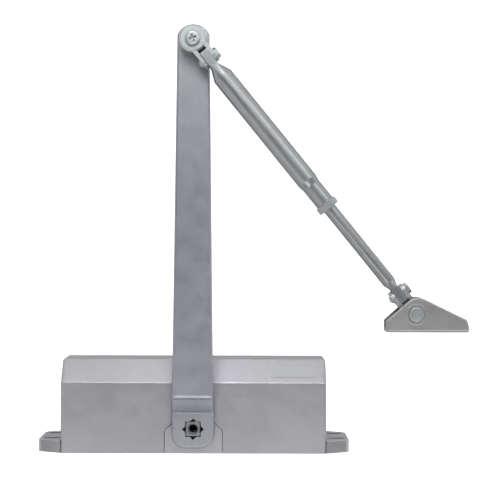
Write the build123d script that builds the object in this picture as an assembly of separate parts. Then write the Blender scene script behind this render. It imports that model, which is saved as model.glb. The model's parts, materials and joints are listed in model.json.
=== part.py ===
"""Surface-mounted hydraulic door closer: rack-and-pinion body, main arm, forearm and shoe.

Row frame, millimetres: +Z is up along the spindle axis, +X runs along the body, +Y points away
from the door. The origin is the centre of the four fixing slots, on the face that lies against the door.
The arm points straight out along +Y and the forearm comes back towards the door at an angle.
"""

from build123d import *
from math import acos, cos, degrees, hypot, pi, radians, sin, sqrt, tan
import os

# ---------------------------------------------------------------- fits
RUNNING = 0.05  # radial clearance of a turning or sliding pair
FACE_GAP = 0.1  # axial play between turning faces
SEAT_GAP = 0.3  # room between parts that only pass each other
THREAD_FIT = 0.02  # radial clearance of a screwed or riveted pair
EDGE_BREAK = 0.5  # chamfer or fillet on the edges of machined pieces
NEAR = 0.01  # tolerance for picking an edge by its place

# ---------------------------------------------------------------- cover
BODY_LENGTH = 153.5
BODY_HALF_HEIGHT = 21.0
BODY_DEPTH = 53.8
BEVEL_DEPTH = 13.2  # of the sloping flanks, along Y
BEVEL_HEIGHT = 10.0  # of the sloping flanks, along Z
BODY_EDGE = 1.5  # fillet of the cover's outer edges
COVER_WALL = 1.6
ACCESS_R = 3.8  # holes in the cover's end, for the speed valves

# ---------------------------------------------------------------- body casting
FOOT_LENGTH = 13.75  # each foot, beyond the cover's end face
FOOT_THICKNESS = 7.3
FOOT_INSET = 0.4  # the feet are this much lower than the cover on each side
FOOT_END_HALF_HEIGHT = 14.0  # the feet taper to this
FOOT_CORNER = 3.5
FOOT_EDGE = 0.7
FRONT_REST_X = 48.0  # pads on the casting that carry the cover's front
FRONT_REST_HALF_WIDTH = 4.0
SLOT_SPACING_X = 166.0
SLOT_SPACING_Z = 19.0
SLOT_LENGTH = 10.0
SLOT_WIDTH = 5.5
SPINDLE_Y = 15.1  # spindle axis above the door face
CYLINDER_Y = 30.0  # cylinder axis above the door face
CYLINDER_R = 17.0
PAD_HALF_WIDTH = 16.6  # pad round each spindle mouth, level with the cover in a notch of it
PAD_SIDE = 13.1  # height of the pad's straight sides
PAD_TOP = 25.5
PAD_CORNER = 2.0

# ---------------------------------------------------------------- rack and pinion
TOOTH_MODULE = 1.25
PINION_TEETH = 10
PRESSURE_ANGLE = 25.0
RACK_ADDENDUM = 1.0
RACK_DEDENDUM = 1.5
TOOTH_PLAY = 0.07  # each flank of the rack stands back this far
GEAR_HALF_FACE = 10.0

# ---------------------------------------------------------------- spindle and its bearings
JOURNAL_R = 6.0
SQUARE_WIDTH = 8.7
SQUARE_CORNER_R = 5.6  # the square's corners are turned down to this radius
SQUARE_LENGTH = 5.8
THREAD_R = 2.6  # arm-screw thread in each spindle end
THREAD_DEPTH = 12.0
BUSH_WALL = 2.3
BUSH_LENGTH = 5.8
SEAL_LENGTH = 2.0
GLAND_WALL = 1.0  # gland nut, outside the bush's radius
GLAND_NOTCHES = 4
GLAND_NOTCH_WIDTH = 2.4
GLAND_NOTCH_DEPTH = 1.2
CAP_R = 11.0
CAP_WALL = 1.6
CAP_EDGE = 2.0

# ---------------------------------------------------------------- piston, spring and end plugs
PLUG_THREAD_R = 18.0
PLUG_THREAD_LENGTH = 8.0
PLUG_RECESS = 0.5  # the plugs sit this far inside the end faces
PLUG_SPIGOT = 4.5
PLUG_SOCKET_AF = 14.0
PLUG_SOCKET_DEPTH = 6.0
RING_SECTION_R = 1.2  # O-ring in each plug
PISTON_STOP_GAP = 0.5  # piston to left plug, with the spring at rest
PISTON_CUP_R = 13.8
PISTON_CUP_FLOOR = 12.0  # x of the spring's seat in the piston
PISTON_RIGHT_END = 30.0
WINDOW_LEFT = -30.0  # pinion window in the piston
WINDOW_RIGHT = 11.0
OIL_CUP_R = 12.5
OIL_WEB = 6.0  # wall between the oil cup and the window
CHECK_BALL_R = 2.6
CHECK_PORT_R = 1.8
RETAINER_RIM = 3.6  # of the ball's retainer, outside the ball's radius
RETAINER_THICKNESS = 1.0
RETAINER_HOLES = 6
RETAINER_HOLE_R = 0.8
SPRING_WIRE_R = 2.1
SPRING_R = 11.3
SPRING_TURNS = 6
SPRING_SEAT_THICKNESS = 1.5

# ---------------------------------------------------------------- speed valves, in the left end face
VALVE_Y = 12.4
VALVE_Z = 14.0
VALVE_R = 3.45
VALVE_LENGTH = 20.0
VALVE_TIP_LENGTH = 4.0
VALVE_RECESS = 1.0
VALVE_RING_R = 0.8
PORT_R = 0.8
NEEDLE_TIP_R = 0.3
VALVE_SLOT_DEPTH = 1.4
VALVE_SLOT_WIDTH = 1.0
VALVE_SLOT_TURN = 25.0

# ---------------------------------------------------------------- main arm
ARM_LENGTH = 220.0  # spindle axis to elbow axis
ARM_THICKNESS = 6.0
ARM_RISE = 9.0  # height of the step in the arm
ARM_STEP_Y = 24.6  # where the step leaves the flat end, on its upper face
ARM_FOOT_HALF_WIDTH = 12.2
ARM_FOOT_TAIL = 11.3  # from the spindle axis to the arm's lower edge
ARM_FOOT_CORNER = 8.0
ARM_ROOT_HALF_WIDTH = 11.6
ARM_TIP_HALF_WIDTH = 9.1
ARM_TIP_R = 9.95
ARM_EDGE = 1.4
ARM_LOW_BEND_R = 3.5  # outside of the lower bend
ARM_HIGH_BEND_R = 4.5  # outside of the upper bend
ARM_INNER_BEND_R = 1.0
ARM_WAIST_R = 8.0  # where the broad foot narrows to the arm
ARM_GAP = 1.2  # arm above the spindle pad

# ---------------------------------------------------------------- knuckles, the same at elbow and shoe
EYE_R = 7.6
EYE_HEIGHT = 9.6
EYE_EDGE = 1.0  # chamfer round the eye
KNUCKLE_BORE_R = 3.2
FORK_SLOT = 4.9
FORK_EAR = 2.25
EAR_R = 4.2
TILT_PIN_X = 14.0  # swivel axis to tilt pin
TILT_PIN_R = 2.2
FLAT_REACH = 5.2  # from the tilt pin to the end of the flat that it holds
PIN_HEAD_AF = 5.8
PIN_HEAD_THICKNESS = 2.1
PIN_HEAD_CROWN = 1.45  # the head's corners are turned down this much at its top
PIN_DOME_R = 2.7
PIN_DOME_HEIGHT = 1.6
WASHER_R = 7.0
WASHER_THICKNESS = 2.0
SCREW_HEAD_R = 4.15
SCREW_HEAD_HEIGHT = 2.2
SCREW_HEAD_EDGE = 1.2
SCREW_TIP = 1.2  # elbow screw shows this much under the arm
CROSS_REACH = 2.3  # cross recess in the screw head
CROSS_WIDTH = 1.1
CROSS_DEPTH = 1.8
CROSS_TIP_R = 1.0
CROSS_TURN = 20.0

# ---------------------------------------------------------------- forearm
FOREARM_LENGTH = 197.0  # elbow axis to shoe axis
FOREARM_ANGLE = -50.9  # direction from +X at rest
TUBE_R = 5.9
TUBE_BORE_R = 4.3
TUBE_BORE_START = 28.5
TUBE_NECK_R = 5.3
TUBE_NOSE_R = 4.6
TUBE_PINCH_HALF_HEIGHT = 5.3
PINCH_END = 18.7
FLAT_EDGE = 0.8  # rounded edges of the flats
FLAT_CORNER = 1.2  # rounded corners of their ends
TUBE_ROUND = 26.5  # where the tube is fully round
TUBE_NECK_START = 101.5
TUBE_NECK_FULL = 105.0
TUBE_END = 117.2
TUBE_NOSE_LENGTH = 2.8
NUT_AF = 11.0
NUT_LENGTH = 4.0
NUT_CORNER_TRIM = 0.25
ROD_R = 3.75
ROD_INNER_END = 60.0
ROD_FLAT_HALF_HEIGHT = 4.2
ROD_ROUND_END = 174.0

# ---------------------------------------------------------------- shoe
SHOE_SHEET = 2.0
SHOE_BASE_Y = -10.0  # the shoe's fixing face, from its pivot
SHOE_LEFT = -16.6
SHOE_RIGHT = 29.3
SHOE_LEFT_SHOULDER = -3.6
SHOE_APEX_X = -0.3
SHOE_APEX_Y = 10.9
SHOE_APEX_R = 8.0
SHOE_RIGHT_SHOULDER_X = 28.0
SHOE_RIGHT_SHOULDER_Y = -2.9
SHOE_RIGHT_CORNER_Y = -6.8
SHOE_CORNER_R = 1.2
SHOE_BEND_R = 1.5
SHOE_EDGE = 0.9  # fillet of the plates' outer edges
SHOE_HOLE_R = 2.6
SHOE_HOLES_X = (-12.0, 21.0)
RIVET_HEAD_R = 4.2
RIVET_HEAD_HEIGHT = 1.2
SHOE_RING_R = 6.0  # raised ring pressed round the rivet
SHOE_RING_HEIGHT = 0.4
SHOE_GROOVE = 0.7  # width of the groove between the ring and the rivet head
RIVET_DISH_R = 2.5  # dish in the rivet head
RIVET_DISH_DEPTH = 0.5

# ---------------------------------------------------------------- worked-out places
PITCH_R = TOOTH_MODULE * PINION_TEETH / 2
COVER_INSIDE_HALF_HEIGHT = BODY_HALF_HEIGHT - COVER_WALL
CASTING_HALF_LENGTH = BODY_LENGTH / 2 - COVER_WALL - SEAT_GAP
CASTING_HALF_HEIGHT = COVER_INSIDE_HALF_HEIGHT - SEAT_GAP
PAD_Z = BODY_HALF_HEIGHT
BUSH_R = JOURNAL_R + BUSH_WALL
GLAND_R = BUSH_R + GLAND_WALL
ARM_SEAT_Z = PAD_Z + ARM_GAP
ARM_TOP_Z = ARM_SEAT_Z + ARM_RISE + ARM_THICKNESS
ELBOW_Y = SPINDLE_Y + ARM_LENGTH
EYE_Z = ARM_TOP_Z + WASHER_THICKNESS + FACE_GAP
EYE_TOP_Z = EYE_Z + EYE_HEIGHT
FOREARM_Z = EYE_Z + EYE_HEIGHT / 2
SHOE_GAP_HALF = EYE_HEIGHT / 2 + SEAT_GAP
SHOE_HALF_HEIGHT = SHOE_GAP_HALF + SHOE_SHEET
PLUG_INNER_X = CASTING_HALF_LENGTH - PLUG_RECESS - PLUG_THREAD_LENGTH - PLUG_SPIGOT
PISTON_LEFT_END = -(PLUG_INNER_X - PISTON_STOP_GAP)
PISTON_R = CYLINDER_R - RUNNING
FORK_HALF_WIDTH = FORK_SLOT / 2 + FORK_EAR
FLAT_THICKNESS = FORK_SLOT - 2 * FACE_GAP
NUT_START = TUBE_END + FACE_GAP
SCREW_SHANK_R = KNUCKLE_BORE_R - RUNNING

ELBOW = Location((0, ELBOW_Y, 0))
FOREARM = ELBOW * Location((0, 0, FOREARM_Z), (0, 0, FOREARM_ANGLE))
SHOE_X = FOREARM_LENGTH * cos(radians(FOREARM_ANGLE))
SHOE_Y = ELBOW_Y + FOREARM_LENGTH * sin(radians(FOREARM_ANGLE))
SHOE = Location((SHOE_X, SHOE_Y, FOREARM_Z))
ALONG_X = Rotation(0, 90, 0)
ALONG_Y = Rotation(-90, 0, 0)
UPRIGHT = (Align.CENTER, Align.CENTER, Align.MIN)


def rod_x(radius, start, end, y=0.0, z=0.0):
    """A round bar along X from start to end."""
    bar = Cylinder(radius, end - start, align=UPRIGHT)
    return Pos(start, y, z) * ALONG_X * bar


def rod_y(radius, start, end, x=0.0, z=0.0):
    """A round bar along Y from start to end."""
    bar = Cylinder(radius, end - start, align=UPRIGHT)
    return Pos(x, start, z) * ALONG_Y * bar


def rod_z(radius, start, end, x=0.0, y=0.0):
    """A round bar along Z from start to end."""
    bar = Cylinder(radius, end - start, align=UPRIGHT)
    return Pos(x, y, start) * bar


def block(x, y, z):
    """A box between three (low, high) pairs."""
    size = (x[1] - x[0], y[1] - y[0], z[1] - z[0])
    return Pos(sum(x) / 2, sum(y) / 2, sum(z) / 2) * Box(*size)


def prism(points, plane, start, end, radii=None):
    """A polygon on plane, its corners rounded by radii, pushed from start to end along the normal."""
    outline = make_face(Polyline(*points, close=True))
    if radii:
        for point, radius in zip(points, radii):
            if radius:
                corner = outline.vertices().sort_by_distance((*point, 0))[0]
                outline = fillet(corner, radius)
    return plane * Pos(0, 0, start) * extrude(outline, end - start)


def hexagon(across_flats):
    return RegularPolygon(across_flats / 2, 6, major_radius=False)


def mirrored(shape):
    """The same piece on the other side of the body's mid height."""
    return mirror(shape, about=Plane.XY)


# ================================================================ cover and casting
def body_section(low):
    """Outline of the body across its length, in (Y, Z), from Y = low."""
    return [
        (low, -BODY_HALF_HEIGHT),
        (BODY_DEPTH - BEVEL_DEPTH, -BODY_HALF_HEIGHT),
        (BODY_DEPTH, BEVEL_HEIGHT - BODY_HALF_HEIGHT),
        (BODY_DEPTH, BODY_HALF_HEIGHT - BEVEL_HEIGHT),
        (BODY_DEPTH - BEVEL_DEPTH, BODY_HALF_HEIGHT),
        (low, BODY_HALF_HEIGHT),
    ]


def front_cover():
    """Hollow cover over the casting, pushed on from the front, with a notch for each spindle mouth."""
    half = BODY_LENGTH / 2
    cover = prism(body_section(0), Plane.YZ, -half, half)
    long_edges = cover.edges().filter_by(Axis.X).group_by(Axis.Y)
    cover = fillet(long_edges[-1] + long_edges[-2], BODY_EDGE)
    ends = cover.edges().filter_by_position(Axis.X, half - NEAR, half + NEAR)
    ends += cover.edges().filter_by_position(Axis.X, -half - NEAR, NEAR - half)
    ends = [e for e in ends if e.center().Y > NEAR]
    cover = fillet(ends, BODY_EDGE)
    profile = make_face(Polyline(*body_section(-COVER_WALL), close=True))
    inside = offset(profile, -COVER_WALL, kind=Kind.INTERSECTION)
    cover -= Plane.YZ * extrude(inside, half - COVER_WALL, both=True)
    foot_z = COVER_INSIDE_HALF_HEIGHT
    cover -= block((-half, half), (0, FOOT_THICKNESS), (-foot_z, foot_z))
    notch = spindle_pad(SEAT_GAP)
    cover -= notch
    cover -= mirrored(notch)
    for side in (-1, 1):
        cover -= rod_x(ACCESS_R, -half, -CASTING_HALF_LENGTH, VALVE_Y, side * VALVE_Z)
    return cover


def foot_outline():
    """Plan of the flange: full height under the cover, tapering feet beyond it."""
    root = BODY_LENGTH / 2 + SEAT_GAP
    tip = BODY_LENGTH / 2 + FOOT_LENGTH
    broad = BODY_HALF_HEIGHT - FOOT_INSET
    points = []
    for sx, sz in ((1, 1), (1, -1), (-1, -1), (-1, 1)):
        corner = [
            (sx * root, sz * CASTING_HALF_HEIGHT),
            (sx * root, sz * broad),
            (sx * tip, sz * FOOT_END_HALF_HEIGHT),
        ]
        points += corner if sx == sz else corner[::-1]
    outline = make_face(Polyline(*points, close=True))
    tips = [v for v in outline.vertices() if abs(v.X) > tip - NEAR]
    return fillet(tips, FOOT_CORNER)


def feet():
    """The flange under the body: its two ends are the fixing feet."""
    slots = [
        Pos(sx * SLOT_SPACING_X / 2, sz * SLOT_SPACING_Z / 2)
        * SlotOverall(SLOT_LENGTH, SLOT_WIDTH)
        for sx in (-1, 1)
        for sz in (-1, 1)
    ]
    flange = extrude(foot_outline() - (Sketch() + slots), FOOT_THICKNESS)
    root = BODY_LENGTH / 2 + 2 * SEAT_GAP
    upper = flange.edges().group_by(Axis.Z)[-1]
    rim = [e for e in upper if abs(e.center().X) > root and not slot_edge(e)]
    flange = fillet(rim, FOOT_EDGE)
    return Rotation(90, 0, 0) * mirror(flange, about=Plane.XY)


def slot_edge(edge):
    """True for the rim of a fixing slot."""
    dx = abs(abs(edge.center().X) - SLOT_SPACING_X / 2)
    dz = abs(abs(edge.center().Y) - SLOT_SPACING_Z / 2)
    return dx < SLOT_LENGTH / 2 + NEAR and dz < SLOT_WIDTH / 2 + NEAR


def spindle_pad(gap):
    """The pad round the upper spindle mouth, its outline grown by gap."""
    slope = PAD_TOP - PAD_SIDE
    side = PAD_SIDE + gap * tan(radians(22.5))
    wide = PAD_HALF_WIDTH + gap
    narrow = wide - slope - gap * (1 - tan(radians(22.5)))
    points = [
        (-wide, -2 * gap),
        (wide, -2 * gap),
        (wide, side),
        (narrow, PAD_TOP + gap),
        (-narrow, PAD_TOP + gap),
        (-wide, side),
    ]
    radii = (0, 0, PAD_CORNER, PAD_CORNER, PAD_CORNER, PAD_CORNER)
    return prism(points, Plane.XY, 0, PAD_Z, radii)


def valve_bore(side):
    """Screw hole, seat and oil port of one speed valve; side is +1 above mid height and -1 below."""
    left = -CASTING_HALF_LENGTH
    z = side * VALVE_Z
    depth = VALVE_RECESS + VALVE_LENGTH
    bore = rod_x(VALVE_R + RUNNING, left, left + depth, VALVE_Y, z)
    seat = rod_x(VALVE_R / 2, left + depth, left + depth + VALVE_TIP_LENGTH, VALVE_Y, z)
    reach = sqrt((CYLINDER_Y - VALVE_Y) ** 2 + VALVE_Z**2)
    tilt = degrees(acos((CYLINDER_Y - VALVE_Y) / reach))
    port = rod_y(PORT_R, 0, reach - CYLINDER_R / 2)
    port_x = left + depth + VALVE_TIP_LENGTH / 2
    return bore + seat + Pos(port_x, VALVE_Y, z) * Rotation(-side * tilt, 0, 0) * port


def housing():
    """Casting with its feet, the cylinder, the spindle bore and the valve holes."""
    half = CASTING_HALF_LENGTH
    side = CASTING_HALF_HEIGHT
    casting = block((-half, half), (0, CYLINDER_Y), (-side, side))
    casting += rod_x(side, -half, half, CYLINDER_Y)
    rest = FRONT_REST_HALF_WIDTH
    for x in (-FRONT_REST_X, FRONT_REST_X):
        casting += block((x - rest, x + rest), (CYLINDER_Y, BODY_DEPTH - COVER_WALL), (-rest, rest))
    casting += feet()
    casting += spindle_pad(0)
    casting += mirrored(spindle_pad(0))
    casting -= rod_x(CYLINDER_R, -half, half, CYLINDER_Y)
    plug_seat = PLUG_RECESS + PLUG_THREAD_LENGTH
    casting -= rod_x(PLUG_THREAD_R, -half, plug_seat - half, CYLINDER_Y)
    casting -= rod_x(PLUG_THREAD_R, half - plug_seat, half, CYLINDER_Y)
    casting -= rod_z(BUSH_R, -PAD_Z, PAD_Z, 0, SPINDLE_Y)
    casting -= rod_z(GLAND_R, gland_floor(), PAD_Z, 0, SPINDLE_Y)
    casting -= rod_z(GLAND_R, -PAD_Z, -gland_floor(), 0, SPINDLE_Y)
    for number in (-1, 1):
        casting -= valve_bore(number)
    return casting


# ================================================================ spindle
def involute(radius):
    """Polar angle that an involute from the base circle has turned by at radius."""
    base = PITCH_R * cos(radians(PRESSURE_ANGLE))
    if radius <= base:
        return 0.0
    roll = acos(base / radius)
    return tan(roll) - roll


def polar(radius, angle):
    return (radius * cos(angle), radius * sin(angle))


def pinion_outline():
    """Ten involute teeth; one tooth points along +Y, into a gap of the rack."""
    base = PITCH_R * cos(radians(PRESSURE_ANGLE))
    root = PITCH_R - RACK_ADDENDUM - SEAT_GAP
    tip = PITCH_R + TOOTH_MODULE
    middle = (base + tip) / 2
    half_tooth = pi / (2 * PINION_TEETH) + involute(PITCH_R)
    step = 2 * pi / PINION_TEETH
    edges = []
    for tooth in range(PINION_TEETH):
        centre = pi / 2 + tooth * step
        low = centre - half_tooth
        high = centre + half_tooth
        rising = [polar(r, low + involute(r)) for r in (base, middle, tip)]
        falling = [polar(r, high - involute(r)) for r in (tip, middle, base)]
        next_low = low + step
        edges += [
            Line(polar(root, low), rising[0]),
            ThreePointArc(*rising),
            ThreePointArc(rising[-1], polar(tip, centre), falling[0]),
            ThreePointArc(*falling),
            Line(falling[-1], polar(root, high)),
            ThreePointArc(
                polar(root, high),
                polar(root, (high + next_low) / 2),
                polar(root, next_low),
            ),
        ]
    return make_face(Wire(edges))


def spindle():
    """Pinion shaft: teeth in the middle, then a journal, a square and a screw thread at each end."""
    gear = extrude(pinion_outline(), GEAR_HALF_FACE, both=True)
    top = ARM_SEAT_Z + SQUARE_LENGTH
    shaft = gear + rod_z(JOURNAL_R, GEAR_HALF_FACE, ARM_SEAT_Z)
    square = extrude(Rectangle(SQUARE_WIDTH, SQUARE_WIDTH) & Circle(SQUARE_CORNER_R), SQUARE_LENGTH)
    square = chamfer(square.faces().sort_by(Axis.Z)[-1].edges(), EDGE_BREAK)
    shaft += Pos(0, 0, ARM_SEAT_Z) * square
    shaft += rod_z(JOURNAL_R, -ARM_SEAT_Z, -GEAR_HALF_FACE)
    shaft += mirrored(Pos(0, 0, ARM_SEAT_Z) * square)
    at_top = (Align.CENTER, Align.CENTER, Align.MAX)
    mouth = Cone(THREAD_R, THREAD_R + EDGE_BREAK, EDGE_BREAK, align=at_top)
    drill = rod_z(THREAD_R, top - THREAD_DEPTH, top) + Pos(0, 0, top) * mouth
    shaft -= drill
    shaft -= mirrored(drill)
    return Pos(0, SPINDLE_Y, 0) * shaft


def spindle_bush():
    low = GEAR_HALF_FACE + SEAT_GAP
    ring = rod_z(BUSH_R, low, low + BUSH_LENGTH)
    ring -= rod_z(JOURNAL_R + RUNNING, low, low + BUSH_LENGTH)
    return Pos(0, SPINDLE_Y, 0) * chamfer(ring.edges(), EDGE_BREAK)


def gland_floor():
    return GEAR_HALF_FACE + SEAT_GAP + BUSH_LENGTH


def spindle_seal():
    low = gland_floor() + FACE_GAP
    ring = rod_z(BUSH_R - SEAT_GAP, low, low + SEAL_LENGTH)
    ring -= rod_z(JOURNAL_R + RUNNING, low, low + SEAL_LENGTH)
    return Pos(0, SPINDLE_Y, 0) * fillet(ring.edges(), EDGE_BREAK)


def gland_nut():
    """Threaded ring that holds the bush and the seal in, with spanner notches in its outer face."""
    ring = rod_z(GLAND_R - RUNNING, gland_floor(), PAD_Z)
    ring -= rod_z(JOURNAL_R + SEAT_GAP, gland_floor(), PAD_Z)
    ring -= rod_z(BUSH_R - SEAT_GAP, gland_floor(), gland_floor() + FACE_GAP + SEAL_LENGTH)
    across = (-GLAND_NOTCH_WIDTH / 2, GLAND_NOTCH_WIDTH / 2)
    notch = block((BUSH_R - GLAND_WALL, GLAND_R), across, (PAD_Z - GLAND_NOTCH_DEPTH, PAD_Z))
    for number in range(GLAND_NOTCHES):
        ring -= Rotation(0, 0, 360 / GLAND_NOTCHES * (number + 0.5)) * notch
    return Pos(0, SPINDLE_Y, 0) * ring


def spindle_cap():
    """Plastic cap over the spindle end that carries no arm."""
    depth = ARM_SEAT_Z + SQUARE_LENGTH - PAD_Z + SEAT_GAP + CAP_WALL
    cup = rod_z(CAP_R, -PAD_Z - depth, -PAD_Z)
    cup = fillet(cup.edges().group_by(Axis.Z)[0], CAP_EDGE)
    cup -= rod_z(CAP_R - CAP_WALL, -PAD_Z - depth + CAP_WALL, -PAD_Z)
    return Pos(0, SPINDLE_Y, 0) * cup


# ================================================================ piston side
def rack_bar():
    """The piston's rack: a gap faces the spindle at the spring's rest."""
    pitch = pi * TOOTH_MODULE
    pitch_y = SPINDLE_Y + PITCH_R
    root = pitch_y + RACK_DEDENDUM
    tip = pitch_y - RACK_ADDENDUM
    slope = tan(radians(PRESSURE_ANGLE))
    half_at_pitch = pitch / 4 - TOOTH_PLAY
    half_tip = half_at_pitch - RACK_ADDENDUM * slope
    half_root = half_at_pitch + RACK_DEDENDUM * slope
    first = int((WINDOW_LEFT + pitch) / pitch) - 1
    last = int((WINDOW_RIGHT - pitch) / pitch)
    bar = block(
        (WINDOW_LEFT, WINDOW_RIGHT),
        (root, root + SEAT_GAP + FACE_GAP + BUSH_R - TOOTH_MODULE),
        (-GEAR_HALF_FACE + SEAT_GAP, GEAR_HALF_FACE - SEAT_GAP),
    )
    for number in range(first, last + 1):
        x = (number + 0.5) * pitch
        tooth = [
            (x - half_root, root),
            (x - half_tip, tip),
            (x + half_tip, tip),
            (x + half_root, root),
        ]
        bar += prism(tooth, Plane.XY, -GEAR_HALF_FACE + SEAT_GAP, GEAR_HALF_FACE - SEAT_GAP)
    return bar


def piston():
    """Piston with the rack in its window, a cup for the spring and a cup for the oil."""
    barrel = rod_x(PISTON_R, PISTON_LEFT_END, PISTON_RIGHT_END, CYLINDER_Y)
    barrel = chamfer(barrel.edges(), EDGE_BREAK)
    flat_y = SPINDLE_Y + BUSH_R + SEAT_GAP
    barrel -= block((WINDOW_LEFT, WINDOW_RIGHT), (0, flat_y), (-PISTON_R, PISTON_R))
    barrel += rack_bar()
    barrel -= rod_x(PISTON_CUP_R, PISTON_CUP_FLOOR, PISTON_RIGHT_END, CYLINDER_Y)
    oil_floor = WINDOW_LEFT - OIL_WEB
    barrel -= rod_x(OIL_CUP_R, PISTON_LEFT_END, oil_floor, CYLINDER_Y)
    barrel -= rod_x(CHECK_PORT_R, oil_floor, WINDOW_LEFT + BUSH_R, CYLINDER_Y)
    barrel -= rod_x(CHECK_BALL_R + RUNNING, oil_floor, oil_floor + 2 * CHECK_BALL_R, CYLINDER_Y)
    return barrel


def check_ball():
    centre = WINDOW_LEFT - OIL_WEB + CHECK_BALL_R
    return Pos(centre, CYLINDER_Y, 0) * Sphere(CHECK_BALL_R)


def check_retainer():
    """Perforated disc that keeps the check ball in its seat."""
    face = WINDOW_LEFT - OIL_WEB
    back = face - RETAINER_THICKNESS
    disc = rod_x(CHECK_BALL_R + RETAINER_RIM, back, face, CYLINDER_Y)
    for number in range(RETAINER_HOLES):
        hole = rod_x(RETAINER_HOLE_R, back, face, CHECK_BALL_R + RETAINER_RIM / 2)
        disc -= Pos(0, CYLINDER_Y, 0) * Rotation(360 / RETAINER_HOLES * number, 0, 0) * hole
    return disc


def spring():
    """Closing spring, ground flat at both ends."""
    left = PISTON_CUP_FLOOR + FACE_GAP
    right = PLUG_INNER_X - SPRING_SEAT_THICKNESS - FACE_GAP
    pitch = (right - left) / SPRING_TURNS
    path = Helix(pitch, right - left, SPRING_R)
    coil = sweep(Plane(path @ 0, z_dir=path % 0) * Circle(SPRING_WIRE_R), path=path, is_frenet=True)
    coil = Pos(left, CYLINDER_Y, 0) * ALONG_X * coil
    reach = SPRING_R + 2 * SPRING_WIRE_R
    return coil & rod_x(reach, left, right, CYLINDER_Y)


def spring_seat():
    right = PLUG_INNER_X
    inner = SPRING_R - SPRING_WIRE_R - SEAT_GAP
    disc = rod_x(PISTON_CUP_R, right - SPRING_SEAT_THICKNESS, right, CYLINDER_Y)
    disc += rod_x(inner, right - 3 * SPRING_SEAT_THICKNESS, right, CYLINDER_Y)
    return disc - rod_x(inner / 2, right - 3 * SPRING_SEAT_THICKNESS, right, CYLINDER_Y)


def ring_groove_x():
    """Middle of the O-ring groove in the right plug."""
    return PLUG_INNER_X + PLUG_SPIGOT / 2


def end_plug():
    """Right end plug; the left one is its mirror image."""
    outer = CASTING_HALF_LENGTH - PLUG_RECESS
    head = rod_x(PLUG_THREAD_R - RUNNING, outer - PLUG_THREAD_LENGTH, outer, CYLINDER_Y)
    head = chamfer(head.edges().sort_by(Axis.X)[-1], EDGE_BREAK)
    head += rod_x(CYLINDER_R - RUNNING, PLUG_INNER_X, outer - PLUG_THREAD_LENGTH, CYLINDER_Y)
    socket = Plane.YZ * extrude(hexagon(PLUG_SOCKET_AF), PLUG_SOCKET_DEPTH)
    head -= Pos(outer - PLUG_SOCKET_DEPTH, CYLINDER_Y, 0) * socket
    groove = rod_x(CYLINDER_R, ring_groove_x() - RING_SECTION_R, ring_groove_x() + RING_SECTION_R)
    groove -= rod_x(CYLINDER_R - 2 * RING_SECTION_R, -BODY_LENGTH, BODY_LENGTH)
    return head - Pos(0, CYLINDER_Y, 0) * groove


def plug_ring():
    ring = Torus(CYLINDER_R - RUNNING - RING_SECTION_R, RING_SECTION_R - RUNNING)
    return Pos(ring_groove_x(), CYLINDER_Y, 0) * ALONG_X * ring


# ================================================================ speed valves
def valve_screw(side):
    """Needle screw with a driver slot; side is +1 above mid height and -1 below."""
    outer = VALVE_RECESS - CASTING_HALF_LENGTH
    z = side * VALVE_Z
    end = outer + VALVE_LENGTH - SEAT_GAP
    screw = rod_x(VALVE_R, outer, end, VALVE_Y, z)
    screw = chamfer(screw.edges().sort_by(Axis.X)[0], EDGE_BREAK)
    needle = Cone(VALVE_R / 2 - RUNNING, NEEDLE_TIP_R, VALVE_TIP_LENGTH - SEAT_GAP)
    needle_x = end + (VALVE_TIP_LENGTH - SEAT_GAP) / 2
    screw += Pos(needle_x, VALVE_Y, z) * ALONG_X * needle
    across = (-VALVE_SLOT_WIDTH / 2, VALVE_SLOT_WIDTH / 2)
    slot = block((outer, outer + VALVE_SLOT_DEPTH), (-VALVE_R, VALVE_R), across)
    screw -= Pos(0, VALVE_Y, z) * Rotation(side * VALVE_SLOT_TURN, 0, 0) * slot
    groove_x = outer + VALVE_LENGTH / 2
    groove = rod_x(VALVE_R, groove_x - VALVE_RING_R, groove_x + VALVE_RING_R, VALVE_Y, z)
    groove -= rod_x(VALVE_R - 2 * VALVE_RING_R, -BODY_LENGTH, 0, VALVE_Y, z)
    return screw - groove


def valve_ring(side):
    groove_x = VALVE_RECESS + VALVE_LENGTH / 2 - CASTING_HALF_LENGTH
    ring = Torus(VALVE_R - VALVE_RING_R, VALVE_RING_R - RUNNING)
    return Pos(groove_x, VALVE_Y, side * VALVE_Z) * ALONG_X * ring


# ================================================================ main arm
def arm_profile():
    """Side view of the stepped arm, in (Y, Z)."""
    shift = ARM_THICKNESS * tan(radians(22.5))
    tail = SPINDLE_Y - ARM_FOOT_TAIL
    tip = ELBOW_Y + ARM_TIP_R
    low_top = ARM_SEAT_Z + ARM_THICKNESS
    points = [
        (tail, ARM_SEAT_Z),
        (ARM_STEP_Y + shift, ARM_SEAT_Z),
        (ARM_STEP_Y + shift + ARM_RISE, ARM_SEAT_Z + ARM_RISE),
        (tip, ARM_SEAT_Z + ARM_RISE),
        (tip, ARM_TOP_Z),
        (ARM_STEP_Y + ARM_RISE, ARM_TOP_Z),
        (ARM_STEP_Y, low_top),
        (tail, low_top),
    ]
    radii = (0, ARM_LOW_BEND_R, ARM_INNER_BEND_R, 0, 0, ARM_HIGH_BEND_R, ARM_INNER_BEND_R, 0)
    return points, radii


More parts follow.
